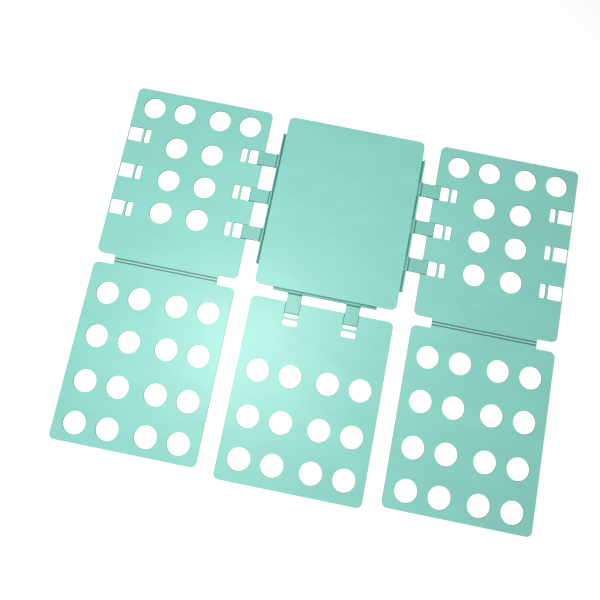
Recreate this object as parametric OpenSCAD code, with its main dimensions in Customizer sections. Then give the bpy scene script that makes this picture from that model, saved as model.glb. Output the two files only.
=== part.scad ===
// Shirt folding board: a solid centre panel with a hinge rod moulded on three of its edges, two
// side flaps and a bottom flap that hang on the rods by snap clips. Each side flap is an upper and
// a lower panel joined by a hinge strip with a crease on both sides. The board lies flat on z = 0.

/* [Panels] */
// Width of every panel
panel_w = 220; // [200:1:260]
// Height of the centre, upper and bottom panels
panel_h = 275; // [265:1:320]
// Height of the two lower side panels
lower_h = 270; // [265:1:320]
// Thickness of every panel
panel_t = 2.2; // [2.2:0.1:2.4]
// Radius of the panels' corners
corner_r = 8.5; // [4:0.5:12]
// Colour of the panels
panel_colour = "#97DFD0"; // [#97DFD0, #9FC7E8, #EFB7C6]
// Colour of the snap clips
clip_colour = "#86D2C2"; // [#86D2C2, #8BB7DC, #E3A3B5]
// Colour of the hinge strips
strip_colour = "#A9E9DC"; // [#A9E9DC, #B6D8F0, #F6CAD6]

/* [Round holes] */
// Radius of every round hole
hole_r = 17; // [10:0.5:17.5]
// Distance of the two inner columns from a panel's centre line
inner_column = 28.8; // [28:0.1:31]
// Distance of the two outer columns from a panel's centre line
outer_column = 78.2; // [75:0.1:82]
// Rows of the upper side panels, measured down from the top edge
upper_rows = [30, 88.7, 143, 196.8];
// Rows of the lower side panels, measured down from the top edge
lower_rows = [44.7, 111.3, 179.3, 241.4];
// Rows of the bottom panel, measured down from the top edge
bottom_rows = [110, 178.9, 241.1];

/* [Clip slots] */
// Width of a slot along the panel's edge
slot_w = 22.8; // [22.4:0.1:24]
// Length of the slot next to the edge, where the clip's hook goes
wide_slot = 21.8; // [21:0.1:23]
// Length of the second slot, for the narrower setting
narrow_slot = 9.6; // [6:0.1:11]
// Width of the bar between the two slots
inner_bar_w = 2.9; // [2:0.1:4]
// Rows of slots in the side panels, measured down from the top edge
side_slot_rows = [78, 139, 200];
// Distance of the bottom flap's slots from its centre line
bottom_slot_x = 45.3; // [30:0.1:60]

/* [Hinge rods] */
// Radius of the hinge rods
rod_r = 1.1; // [1:0.05:1.1]
// Height of the rods' axes above the ground, enough to fold a flap flat on the centre panel
rod_z = 3.8; // [3.7:0.05:4]
// Distance of a rod's axis from the centre panel's edge
rod_offset = 3.6; // [3.6:0.05:4]
// Length of the two side rods
side_rod_len = 215; // [190:1:220]
// Length of the bottom rod
bottom_rod_len = 161; // [130:1:180]

/* [Clips] */
// Width of a clip along its rod
clip_w = 21.4; // [18:0.1:21.8]
// Distance from a rod's axis to the far end of its clips
clip_reach = 33.1; // [32.5:0.1:34]
// Thickness of the clip's plate
plate_t = 1.2; // [1:0.05:1.2]
// Wall of the C-shaped roll
roll_wall = 1.25; // [1.1:0.05:1.25]
// Slope of the ramp from the roll down to the plate, in degrees
ramp_slope = 48; // [45:1:52]
// Distance from a side rod's axis to the edge of the side panels
side_gap = 23.8; // [20:0.1:24.5]
// Distance from the bottom rod's axis to the edge of the bottom panel
bottom_gap = 15.3; // [15:0.1:20]

/* [Hinge strips] */
// Length of the hinge strips along their creases
strip_len = 161; // [120:1:190]
// Distance between a strip's two creases
crease_gap = 4.74; // [4.4:0.02:6]
// Gap between an upper panel and the lower panel beside the strip
notch_gap = 15.2; // [13:0.1:20]
// Thickness of the hinge strip at its creases
strip_t = 0.9; // [0.7:0.1:1]
// Width of the rib between a strip's two creases
rib_between = 2.2; // [1.6:0.1:2.2]

/* [Hidden] */
$fn = 64;
// Running clearance of the rolls on the rods, the bars in the hooks and the strips in their seats
run = 0.05;
// Overlap that joins two shapes of one solid
weld = 0.5;
// Extra length of a cut beyond the face it opens
past = 1;
// Edge bar that a clip's hook holds
bar_r = 0.7;
bar_inset = 0.9;
edge_strip = 1.8;
bar_z = panel_t - run - bar_r;
// Hook of a clip: the leg under the bar, and where it ends
leg_t = bar_z - bar_r - run;
leg_end = 13.2;
lip_len = 1;
lip_h = 0.4;
plate_top = panel_t + plate_t;
hook_r = plate_top / 2;
// C-shaped roll of a clip, with its mouth at the bottom
roll_in = rod_r + run;
roll_r = roll_in + roll_wall;
mouth_from = 218;
mouth_to = 360 - asin((rod_z - panel_t) / roll_r);
mouth_middle = (mouth_from + mouth_to) / 2;
// Start of the ramp, where it leaves the roll, and its foot on the plate
ramp_start = [0, rod_z] + roll_r * [sin(ramp_slope), cos(ramp_slope)];
ramp_foot = ramp_start[0] + (ramp_start[1] - plate_top) / tan(ramp_slope);
// Foot that carries a rod between the clips
foot_t = 0.9;
rib_w = 1.6;
// Hinge strip and its seats in the tongues of the panels
crease_z = panel_t / 2;
groove_w = 0.8;
tongue = (notch_gap - crease_gap) / 2;
slot_corner_r = 1.5;
// Columns of round holes, across a panel
inner_columns = [-inner_column, inner_column];
all_columns = [-outer_column, -inner_column, inner_column, outer_column];

// Places of the panels' edges, with the origin in the middle of the whole board
flap_gap = rod_offset + bottom_gap;
top_y = panel_h + flap_gap / 2;
centre_bottom_y = flap_gap / 2;
bottom_top_y = -flap_gap / 2;
lower_top_y = centre_bottom_y - notch_gap;
side_x = panel_w + rod_offset + side_gap;
side_rod_x = panel_w / 2 + rod_offset;
bottom_rod_y = centre_bottom_y - rod_offset;
upper_crease_y = centre_bottom_y - tongue;

// Flat outline with round corners: centred on x, running down from y = 0
module round_sheet(w, h, r) {
    translate([-w / 2 + r, -h])
        square([w - 2 * r, h]);
    translate([-w / 2, r - h])
        square([w, h - 2 * r]);
    for (x = [r - w / 2, w / 2 - r], y = [-r, r - h])
        translate([x, y])
            circle(r);
}

// One row of round holes, one in each of the columns
module hole_row(y, columns) {
    for (x = columns)
        translate([x, -y])
            circle(hole_r);
}

// Cut of one pair of slots, with the panel's edge on x = 0 and the panel on its +X side
module slot_pair_cut() {
    first_end = edge_strip + wide_slot;
    second_start = first_end + inner_bar_w;
    translate([-past, -slot_w / 2])
        square([past + first_end, slot_w]);
    translate([second_start + narrow_slot, 0])
        rotate(-90)
            round_sheet(slot_w, narrow_slot, slot_corner_r);
}

// Bars that cross one pair of slots: the round edge bar, and the flat bar between the slots
module slot_pair_bars() {
    bar_len = slot_w + 2 * weld;
    translate([bar_inset, 0, bar_z])
        rotate([90, 0, 0])
            cylinder(r = bar_r, h = bar_len, center = true);
    translate([edge_strip + wide_slot - weld, -bar_len / 2, bar_z - bar_r])
        cube([inner_bar_w + 2 * weld, bar_len, 2 * bar_r]);
}

// Foot, rib and rod moulded on a panel's edge, with the edge on x = 0 and the rod on its -X side.
// The foot and the rib are cut away at each clip.
module edge_rod(length, clips) {
    outer = rod_offset + rod_r;
    difference() {
        union() {
            translate([-outer, -length / 2, 0])
                cube([outer + weld, length, foot_t]);
            translate([-rod_offset - rib_w / 2, -length / 2, 0])
                cube([rib_w, length, rod_z]);
        }
        for (y = clips)
            translate([-outer - past, y - slot_w / 2, -past])
                cube([outer + past, slot_w, rod_z + 2 * past]);
    }
    translate([-rod_offset, 0, rod_z])
        rotate([90, 0, 0])
            cylinder(r = rod_r, h = length, center = true);
}

// Point on a circle round the rod's axis, in a clip's section
function round_rod(r, angle) = [r * cos(angle), rod_z + r * sin(angle)];

// Section of a clip, with the rod's axis over x = 0 and the ground on y = 0
module clip_section() {
    hook_x = clip_reach - hook_r;
    slot_h = panel_t - leg_t;
    far = 2 * roll_r;
    difference() {
        union() {
            translate([0, rod_z])
                circle(roll_r);
            polygon([round_rod(roll_in, mouth_to), round_rod(roll_r, mouth_to),
                [ramp_foot, panel_t], [ramp_foot, plate_top], ramp_start]);
        }
        translate([0, rod_z])
            circle(roll_in);
        polygon([[0, rod_z], round_rod(far, mouth_from), round_rod(far, mouth_middle),
            round_rod(far, mouth_to)]);
    }
    translate([ramp_foot - weld, panel_t])
        square([hook_x - ramp_foot + weld, plate_t]);
    difference() {
        union() {
            translate([leg_end, 0])
                square([hook_x - leg_end, leg_t]);
            translate([leg_end, 0])
                square([lip_len, leg_t + lip_h]);
            translate([hook_x, hook_r])
                circle(hook_r);
        }
        translate([hook_x, leg_t + slot_h / 2])
            circle(slot_h / 2);
        translate([hook_x - hook_r - past, leg_t])
            square([hook_r + past, slot_h]);
    }
}

// One snap clip, with the rod's axis over x = 0 and the clip reaching along +X
module clip() {
    color(clip_colour)
        rotate([90, 0, 0])
            linear_extrude(clip_w, center = true)
                clip_section();
}

// Tongue that reaches from a panel's edge on y = 0 down to a crease, with half a seat for the strip
module tongue_section() {
    difference() {
        union() {
            translate([-tongue, 0])
                square([tongue + weld, crease_z]);
            translate([groove_w - tongue, 0])
                square([tongue - groove_w + weld, panel_t]);
        }
        translate([-tongue, crease_z])
            circle(strip_t / 2 + run);
    }
}

module panel_tongue() {
    rotate([90, 0, 90])
        linear_extrude(strip_len, center = true)
            tongue_section();
}

module upper_side_panel() {
    color(panel_colour) {
        linear_extrude(panel_t)
            difference() {
                round_sheet(panel_w, panel_h, corner_r);
                hole_row(upper_rows[0], all_columns);
                for (i = [1:len(upper_rows) - 1])
                    hole_row(upper_rows[i], inner_columns);
                for (y = side_slot_rows, side = [0, 1])
                    mirror([side, 0])
                        translate([-panel_w / 2, -y])
                            slot_pair_cut();
            }
        for (y = side_slot_rows, side = [0, 1])
            mirror([side, 0, 0])
                translate([-panel_w / 2, -y, 0])
                    slot_pair_bars();
        translate([0, -panel_h, 0])
            panel_tongue();
    }
}

module lower_side_panel() {
    color(panel_colour) {
        linear_extrude(panel_t)
            difference() {
                round_sheet(panel_w, lower_h, corner_r);
                for (y = lower_rows)
                    hole_row(y, all_columns);
            }
        mirror([0, 1, 0])
            panel_tongue();
    }
}

// Hinge strip: a rib between two thin webs that end in round beads, one bead along each crease.
// The upper crease is on y = 0.
module hinge_strip() {
    color(strip_colour)
        rotate([90, 0, 90])
            linear_extrude(strip_len, center = true) {
                translate([-crease_gap, crease_z - strip_t / 2])
                    square([crease_gap, strip_t]);
                translate([-(crease_gap + rib_between) / 2, crease_z - strip_t / 2])
                    square([rib_between, panel_t - crease_z + strip_t / 2]);
                for (y = [0, -crease_gap])
                    translate([y, crease_z])
                        circle(strip_t / 2);
            }
}

module centre_panel() {
    color(panel_colour)
        translate([0, top_y, 0]) {
            linear_extrude(panel_t)
                round_sheet(panel_w, panel_h, corner_r);
            for (side = [0, 1])
                mirror([side, 0, 0])
                    translate([-panel_w / 2, -panel_h / 2, 0])
                        edge_rod(side_rod_len, [for (y = side_slot_rows) panel_h / 2 - y]);
            translate([0, -panel_h, 0])
                rotate([0, 0, 90])
                    edge_rod(bottom_rod_len, [-bottom_slot_x, bottom_slot_x]);
        }
}

module bottom_panel() {
    color(panel_colour)
        translate([0, bottom_top_y, 0]) {
            linear_extrude(panel_t)
                difference() {
                    round_sheet(panel_w, panel_h, corner_r);
                    for (y = bottom_rows)
                        hole_row(y, all_columns);
                    for (x = [-bottom_slot_x, bottom_slot_x])
                        translate([x, 0])
                            rotate(-90)
                                slot_pair_cut();
                }
            for (x = [-bottom_slot_x, bottom_slot_x])
                translate([x, 0, 0])
                    rotate([0, 0, -90])
                        slot_pair_bars();
        }
}

module left_upper_panel() {
    translate([-side_x, top_y, 0])
        upper_side_panel();
}

module right_upper_panel() {
    translate([side_x, top_y, 0])
        upper_side_panel();
}

module left_hinge_strip() {
    translate([-side_x, upper_crease_y, 0])
        hinge_strip();
}

module right_hinge_strip() {
    translate([side_x, upper_crease_y, 0])
        hinge_strip();
}

module left_lower_panel() {
    translate([-side_x, lower_top_y, 0])
        lower_side_panel();
}

module right_lower_panel() {
    translate([side_x, lower_top_y, 0])
        lower_side_panel();
}

module left_clip(row) {
    translate([-side_rod_x, top_y - side_slot_rows[row], 0])
        mirror([1, 0, 0])
            clip();
}

module right_clip(row) {
    translate([side_rod_x, top_y - side_slot_rows[row], 0])
        clip();
}

module bottom_clip(x) {
    translate([x, bottom_rod_y, 0])
        rotate([0, 0, -90])
            clip();
}

centre_panel();
bottom_panel();
left_upper_panel();
left_hinge_strip();
left_lower_panel();
right_upper_panel();
right_hinge_strip();
right_lower_panel();
left_clip(0);  // left_clip_top
left_clip(1);  // left_clip_middle
left_clip(2);  // left_clip_bottom
right_clip(0);  // right_clip_top
right_clip(1);  // right_clip_middle
right_clip(2);  // right_clip_bottom
bottom_clip(-bottom_slot_x);  // bottom_clip_left
bottom_clip(bottom_slot_x);  // bottom_clip_right
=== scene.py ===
import math

import bpy
from mathutils import Matrix, Vector

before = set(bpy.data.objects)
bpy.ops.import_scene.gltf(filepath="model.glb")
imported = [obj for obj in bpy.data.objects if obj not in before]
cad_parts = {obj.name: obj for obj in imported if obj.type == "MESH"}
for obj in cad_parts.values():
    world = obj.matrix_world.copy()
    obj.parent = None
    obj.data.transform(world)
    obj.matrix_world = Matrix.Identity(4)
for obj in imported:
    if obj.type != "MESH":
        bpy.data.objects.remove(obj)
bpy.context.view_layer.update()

MM = 0.001
scene = bpy.context.scene


# ---------------------------------------------------------------- camera

# Point that the camera looks at, on the table, and how far away the camera is
TARGET = Vector((-36.4, -3.1, 0)) * MM
CAMERA_DISTANCE = 750 * MM
# The camera is turned about the vertical, tilted away from it, and rolled about its own axis
CAMERA_TURN = math.radians(7.0)
CAMERA_TILT = math.radians(7.65)
CAMERA_ROLL = math.radians(4.4)
LENS_MM = 29.46


def add_camera():
    camera = bpy.data.objects.new("camera", bpy.data.cameras.new("camera"))
    aim = Matrix.Rotation(CAMERA_TURN, 4, "Z") @ Matrix.Rotation(CAMERA_TILT, 4, "X")
    place = TARGET + aim @ Vector((0, 0, CAMERA_DISTANCE))
    camera.matrix_world = Matrix.Translation(place) @ aim @ Matrix.Rotation(CAMERA_ROLL, 4, "Z")
    camera.data.lens = LENS_MM
    scene.collection.objects.link(camera)
    scene.camera = camera


add_camera()


# ---------------------------------------------------------------- materials

# Sockets of the Mix node that belong to colours
MIX_SHARE, MIX_FIRST, MIX_SECOND = 0, 6, 7
MIX_RESULT = 2
SHELTER_SAMPLES = 12


class Nodes:
    """A material's node tree, with short ways to add and join nodes."""

    def __init__(self, name):
        self.material = bpy.data.materials.new(name)
        self.material.use_nodes = True
        self.tree = self.material.node_tree
        self.shader = self.tree.nodes["Principled BSDF"]
        self.place = self.add("ShaderNodeTexCoord").outputs["Object"]

    def add(self, kind, settings=None, **inputs):
        """Adds a node, with its inputs by name and an underscore for each space."""
        node = self.tree.nodes.new(kind)
        for name, value in (settings or {}).items():
            setattr(node, name, value)
        for name, value in inputs.items():
            node.inputs[name.replace("_", " ")].default_value = value
        return node

    def join(self, output, socket):
        self.tree.links.new(output, socket)

    def noise(self, scale, detail=2.0, roughness=0.5, stretch=(1, 1, 1)):
        """Noise of so many cells a metre, with more of them along the axes that stretch multiplies."""
        noise = self.add("ShaderNodeTexNoise", Scale=scale, Detail=detail, Roughness=roughness)
        mapping = self.add("ShaderNodeMapping", Scale=stretch)
        self.join(self.place, mapping.inputs["Vector"])
        self.join(mapping.outputs["Vector"], noise.inputs["Vector"])
        return noise.outputs["Fac"]

    def spread(self, value, low, high, to_low=0.0, to_high=1.0):
        """Stretches the range low to high of a value over to_low to to_high."""
        node = self.add("ShaderNodeMapRange", From_Min=low, From_Max=high, To_Min=to_low, To_Max=to_high)
        self.join(value, node.inputs["Value"])
        return node.outputs["Result"]

    def mix(self, kind, share, first, second):
        """Mixes two colours, each a colour or a node's output. The share is a number or an output."""
        node = self.add("ShaderNodeMix", {"data_type": "RGBA", "blend_type": kind})
        for index, value in ((MIX_SHARE, share), (MIX_FIRST, first), (MIX_SECOND, second)):
            socket = node.inputs[index]
            if isinstance(value, bpy.types.NodeSocket):
                self.join(value, socket)
            elif isinstance(value, tuple):
                socket.default_value = (*value, 1)
            else:
                socket.default_value = value
        return node.outputs[MIX_RESULT]

    def axis(self, vector, name):
        """One axis of a vector."""
        split = self.add("ShaderNodeSeparateXYZ")
        self.join(vector, split.inputs[0])
        return split.outputs[name]

    def times(self, first, second):
        """Product of two numbers, each a node's output."""
        node = self.add("ShaderNodeMath", {"operation": "MULTIPLY"})
        self.join(first, node.inputs[0])
        self.join(second, node.inputs[1])
        return node.outputs[0]

    def shelter(self, reach, closed, clear):
        """1 where surfaces nearer than reach leave no more than closed of the view out, and 0 where
        they leave clear of it or more. It gives the share of painted shade in a closed-in place."""
        cavity = self.add("ShaderNodeAmbientOcclusion", {"samples": SHELTER_SAMPLES}, Distance=reach)
        return self.spread(cavity.outputs["AO"], closed, clear, 1.0, 0.0)


# Painted shade: colours standing in for the shade in the grooves between a panel and its rod, and in the
# narrower gaps of the clips and strips
GROOVE_SHADE = (0.080, 0.370, 0.290)
DEEP_SHADE = (0.030, 0.205, 0.160)
# How closed in a surface has to be for the groove's painted shade, and for the deeper painted shade
GROOVE_SHELTER = {"reach": 3 * MM, "closed": 0.25, "clear": 0.85}
DEEP_SHELTER = {"reach": 1.5 * MM, "closed": 0.35, "clear": 0.70}
# Distance over which a colour that depends on height fades in or out
HEIGHT_FADE = 0.3 * MM
# An open_above that is higher than any piece, so that it exempts nothing
EXEMPTS_NOTHING = 100 * MM

# Flow pattern: its noise, the part of the noise that is used, and how much it lightens and darkens
FLOW_NOISE = {"scale": 9.0, "detail": 3.0, "roughness": 0.6, "stretch": (1, 2.2, 1)}
FLOW_LOW, FLOW_HIGH = 0.3, 0.7
FLOW_SHADE = 0.04

# Painted shade on steep flanks: how far a normal points up where a flank starts to count as steep and
# where it fully does, and where the shade is full and where it has gone, at an upright wall
STEEP_START, STEEP_FULL = 0.78, 0.69
FLANK_UP, WALL_UP = 0.3, 0.0
# Share of the deep painted shade on the web beside a rod or in a strip, and how far a normal points up
# where the web starts to take it and where it fully does
WEB_SHADE = 0.85
WEB_UP_START, WEB_UP_FULL = 0.3, 0.6

# Softened edges, and how far the softened normal has to leave the true one for the paler edge colour, which
# is partly wear and partly a painted highlight
SOFT_EDGE = 0.5 * MM
SOFT_EDGE_SAMPLES = 4
WEAR_HIGHLIGHT_START, WEAR_HIGHLIGHT_FULL = 0.98, 0.80
WEAR_HIGHLIGHT_SHARE = 0.25

# Hairline scuffs that run along Y, and the roughness of the plastic without and with them
SCUFF_NOISE = {"scale": 60.0, "detail": 5.0, "roughness": 0.75, "stretch": (14, 1, 1)}
SCUFF_LOW, SCUFF_HIGH = 0.62, 0.75
SATIN, SCUFFED = 0.40, 0.52
GRAIN_SCALE = 1400.0
GRAIN_STRENGTH = 0.25
GRAIN_DEPTH = 0.05 * MM
SPECULAR = 0.4


def moulded_plastic(name, colour, painted_shade, rim, slope_shade=0.0, web_top=None,
                    open_above=EXEMPTS_NOTHING):
    """Moulded polypropylene: a faint flow pattern, painted shade in grooves and on steep flanks,
    paler edges that are partly wear and partly a painted highlight, fine hairline scuffs and a satin
    grain. Painted shade also lies on upward faces lower than web_top, and surfaces fade from sunken
    to open just above open_above, so the groove shade is left off higher up."""
    m = Nodes(name)
    flow = m.spread(m.noise(**FLOW_NOISE), FLOW_LOW, FLOW_HIGH, 1 - FLOW_SHADE, 1 + FLOW_SHADE)
    body = m.mix("MULTIPLY", 1.0, colour, flow)

    up = m.axis(m.add("ShaderNodeTexCoord").outputs["Normal"], "Z")
    # Painted shade on steep flanks, up to slope_shade of the shade colour
    steep = m.times(m.spread(up, STEEP_START, STEEP_FULL), m.spread(up, WALL_UP, FLANK_UP, 0.0, slope_shade))
    body = m.mix("MIX", steep, body, painted_shade)

    soft_edge = m.add("ShaderNodeBevel", {"samples": SOFT_EDGE_SAMPLES}, Radius=SOFT_EDGE)
    # Paler edges, partly wear and partly a painted highlight where the edges catch the light
    facing = m.add("ShaderNodeVectorMath", {"operation": "DOT_PRODUCT"})
    m.join(soft_edge.outputs["Normal"], facing.inputs[0])
    m.join(m.add("ShaderNodeNewGeometry").outputs["Normal"], facing.inputs[1])
    wear_and_highlight = m.spread(facing.outputs["Value"], WEAR_HIGHLIGHT_START, WEAR_HIGHLIGHT_FULL, 0.0, WEAR_HIGHLIGHT_SHARE)
    body = m.mix("MIX", wear_and_highlight, body, rim)

    height = m.axis(m.place, "Z")
    sunken = m.spread(height, open_above, open_above + HEIGHT_FADE, 1.0, 0.0)
    # Painted shade in grooves and narrow gaps, where the surface is closed in
    body = m.mix("MIX", m.times(sunken, m.shelter(**GROOVE_SHELTER)), body, painted_shade)
    body = m.mix("MIX", m.times(sunken, m.shelter(**DEEP_SHELTER)), body, DEEP_SHADE)
    # Painted shade on upward faces lower than web_top: the webs beside the rods and in the hinge strips
    if web_top is not None:
        low = m.spread(height, web_top, web_top - HEIGHT_FADE, 0.0, WEB_SHADE)
        body = m.mix("MIX", m.times(low, m.spread(up, WEB_UP_START, WEB_UP_FULL)), body, DEEP_SHADE)
    m.join(body, m.shader.inputs["Base Color"])

    scuffs = m.spread(m.noise(**SCUFF_NOISE), SCUFF_LOW, SCUFF_HIGH)
    m.join(m.spread(scuffs, 0.0, 1.0, SATIN, SCUFFED), m.shader.inputs["Roughness"])
    grain = m.add("ShaderNodeBump", Strength=GRAIN_STRENGTH, Distance=GRAIN_DEPTH)
    m.join(soft_edge.outputs["Normal"], grain.inputs["Normal"])
    m.join(m.noise(GRAIN_SCALE), grain.inputs["Height"])
    m.join(grain.outputs["Normal"], m.shader.inputs["Normal"])
    m.shader.inputs["Specular IOR Level"].default_value = SPECULAR
    return m.material


PANEL = moulded_plastic("mint_panel", colour=(0.252, 0.640, 0.552), painted_shade=GROOVE_SHADE, rim=(0.36, 0.74, 0.66),
                        web_top=1.2 * MM, open_above=2.5 * MM)
CLIP = moulded_plastic("mint_clip", colour=(0.212, 0.565, 0.480), painted_shade=DEEP_SHADE, rim=(0.30, 0.68, 0.60),
                       slope_shade=0.75)
STRIP = moulded_plastic("mint_strip", colour=(0.40, 0.69, 0.63), painted_shade=DEEP_SHADE, rim=(0.60, 0.83, 0.79),
                        web_top=2.0 * MM)


# ---------------------------------------------------------------- the board

# Faces of a CAD node come unjoined, and are welded over this distance before the edges are rounded
WELD_DISTANCE = 0.001 * MM
# Edges sharper than this are rounded, in so many steps
EDGE_ANGLE = math.radians(35)
EDGE_STEPS = 3
# How far the rounding reaches from an edge
CLIP_EDGE = 0.45 * MM
STRIP_EDGE = 0.3 * MM
PANEL_EDGE = 0.4 * MM


def round_edges(piece, width):
    weld = piece.modifiers.new("weld", "WELD")
    weld.merge_threshold = WELD_DISTANCE
    edges = piece.modifiers.new("edges", "BEVEL")
    edges.width = width
    edges.segments = EDGE_STEPS
    edges.limit_method = "ANGLE"
    edges.angle_limit = EDGE_ANGLE


def dress(name, material, edge):
    """Rounds a CAD node's edges and gives it its plastic."""
    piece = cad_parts[name]
    round_edges(piece, edge)
    piece.data.materials.clear()
    piece.data.materials.append(material)


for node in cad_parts:
    if "clip" in node:
        dress(node, CLIP, CLIP_EDGE)
    elif "strip" in node:
        dress(node, STRIP, STRIP_EDGE)
    else:
        dress(node, PANEL, PANEL_EDGE)


# ---------------------------------------------------------------- table and light

FLOOR_HALF = 3.0
FLOOR_CORNERS = ((-1, -1), (1, -1), (1, 1), (-1, 1))
FLOOR_ROUGHNESS = 0.9
# Grain in the floor's colour, as a share of it
FLOOR_GRAIN = 0.01
FLOOR_GRAIN_SCALE = 40.0
# Painted shadow on the floor at the bottom of a narrow gap, in its colour and its glow, and how closed in
# the floor is there
CREVICE_SHADOW = (0.06, 0.24, 0.19)
CREVICE_SHELTER = {"reach": 10 * MM, "closed": 0.25, "clear": 0.50}
WHITE = (1, 1, 1)


def add_floor(name, albedo, glow, height, seen):
    """A flat floor that either the camera sees, or the light bounces from."""
    mesh = bpy.data.meshes.new(name)
    corners = [(x * FLOOR_HALF, y * FLOOR_HALF, height) for x, y in FLOOR_CORNERS]
    mesh.from_pydata(corners, [], [(0, 1, 2, 3)])
    floor = bpy.data.objects.new(name, mesh)
    scene.collection.objects.link(floor)
    paper = Nodes(name)
    grain = paper.spread(paper.noise(FLOOR_GRAIN_SCALE), 0.0, 1.0,
                         (1 - FLOOR_GRAIN) * albedo, (1 + FLOOR_GRAIN) * albedo)
    # Painted shadow in the floor's colour and glow where the board closes it in
    shade = paper.shelter(**CREVICE_SHELTER)
    paper.join(paper.mix("MIX", shade, grain, CREVICE_SHADOW), paper.shader.inputs["Base Color"])
    paper.join(paper.mix("MIX", shade, WHITE, CREVICE_SHADOW), paper.shader.inputs["Emission Color"])
    paper.shader.inputs["Roughness"].default_value = FLOOR_ROUGHNESS
    paper.shader.inputs["Emission Strength"].default_value = glow
    mesh.materials.append(paper.material)
    floor.visible_camera = seen
    floor.visible_diffuse = not seen
    floor.visible_glossy = not seen
    floor.visible_shadow = not seen


# Upward part of a direction at which the weak light from low down ends, 27 degrees above the horizon,
# and at which the full light from above starts, 33 degrees above it
LOW_LIGHT_END = 0.45
HIGH_LIGHT_START = 0.55


def add_sky(strength, low_share, backdrop):
    """Even light from above, low_share of it from lower down, before a pale backdrop that only the
    camera sees."""
    world = bpy.data.worlds.new("studio")
    world.use_nodes = True
    tree = world.node_tree
    place = tree.nodes.new("ShaderNodeTexCoord")
    split = tree.nodes.new("ShaderNodeSeparateXYZ")
    ramp = tree.nodes.new("ShaderNodeValToRGB")
    low, high = ramp.color_ramp.elements
    low.position = LOW_LIGHT_END
    low.color = (low_share, low_share, low_share, 1)
    high.position = HIGH_LIGHT_START
    light = tree.nodes["Background"]
    light.inputs["Strength"].default_value = strength
    wall = tree.nodes.new("ShaderNodeBackground")
    wall.inputs["Strength"].default_value = backdrop
    path = tree.nodes.new("ShaderNodeLightPath")
    either = tree.nodes.new("ShaderNodeMixShader")
    tree.links.new(place.outputs["Generated"], split.inputs[0])
    tree.links.new(split.outputs["Z"], ramp.inputs[0])
    tree.links.new(ramp.outputs[0], light.inputs["Color"])
    tree.links.new(path.outputs["Is Camera Ray"], either.inputs[0])
    tree.links.new(light.outputs[0], either.inputs[1])
    tree.links.new(wall.outputs[0], either.inputs[2])
    tree.links.new(either.outputs[0], tree.nodes["World Output"].inputs["Surface"])
    scene.world = world


def add_softbox(name, place, aim, size, power):
    lamp = bpy.data.lights.new(name, "AREA")
    lamp.shape = "DISK"
    lamp.size = size
    lamp.energy = power
    box = bpy.data.objects.new(name, lamp)
    box.location = place
    box.rotation_mode = "QUATERNION"
    box.rotation_quaternion = (Vector(place) - Vector(aim)).to_track_quat("Z", "Y")
    scene.collection.objects.link(box)


add_floor("floor", albedo=0.95, glow=0.30, height=-0.2 * MM, seen=True)
add_floor("floor_bounce", albedo=0.30, glow=0.0, height=-0.3 * MM, seen=False)
add_sky(strength=0.26, low_share=0.1, backdrop=0.9)
add_softbox("key", place=(-0.24, -0.07, 1.30), aim=(-0.05, 0.0, 0.0), size=0.45, power=16.2)
scene.view_settings.view_transform = "Standard"
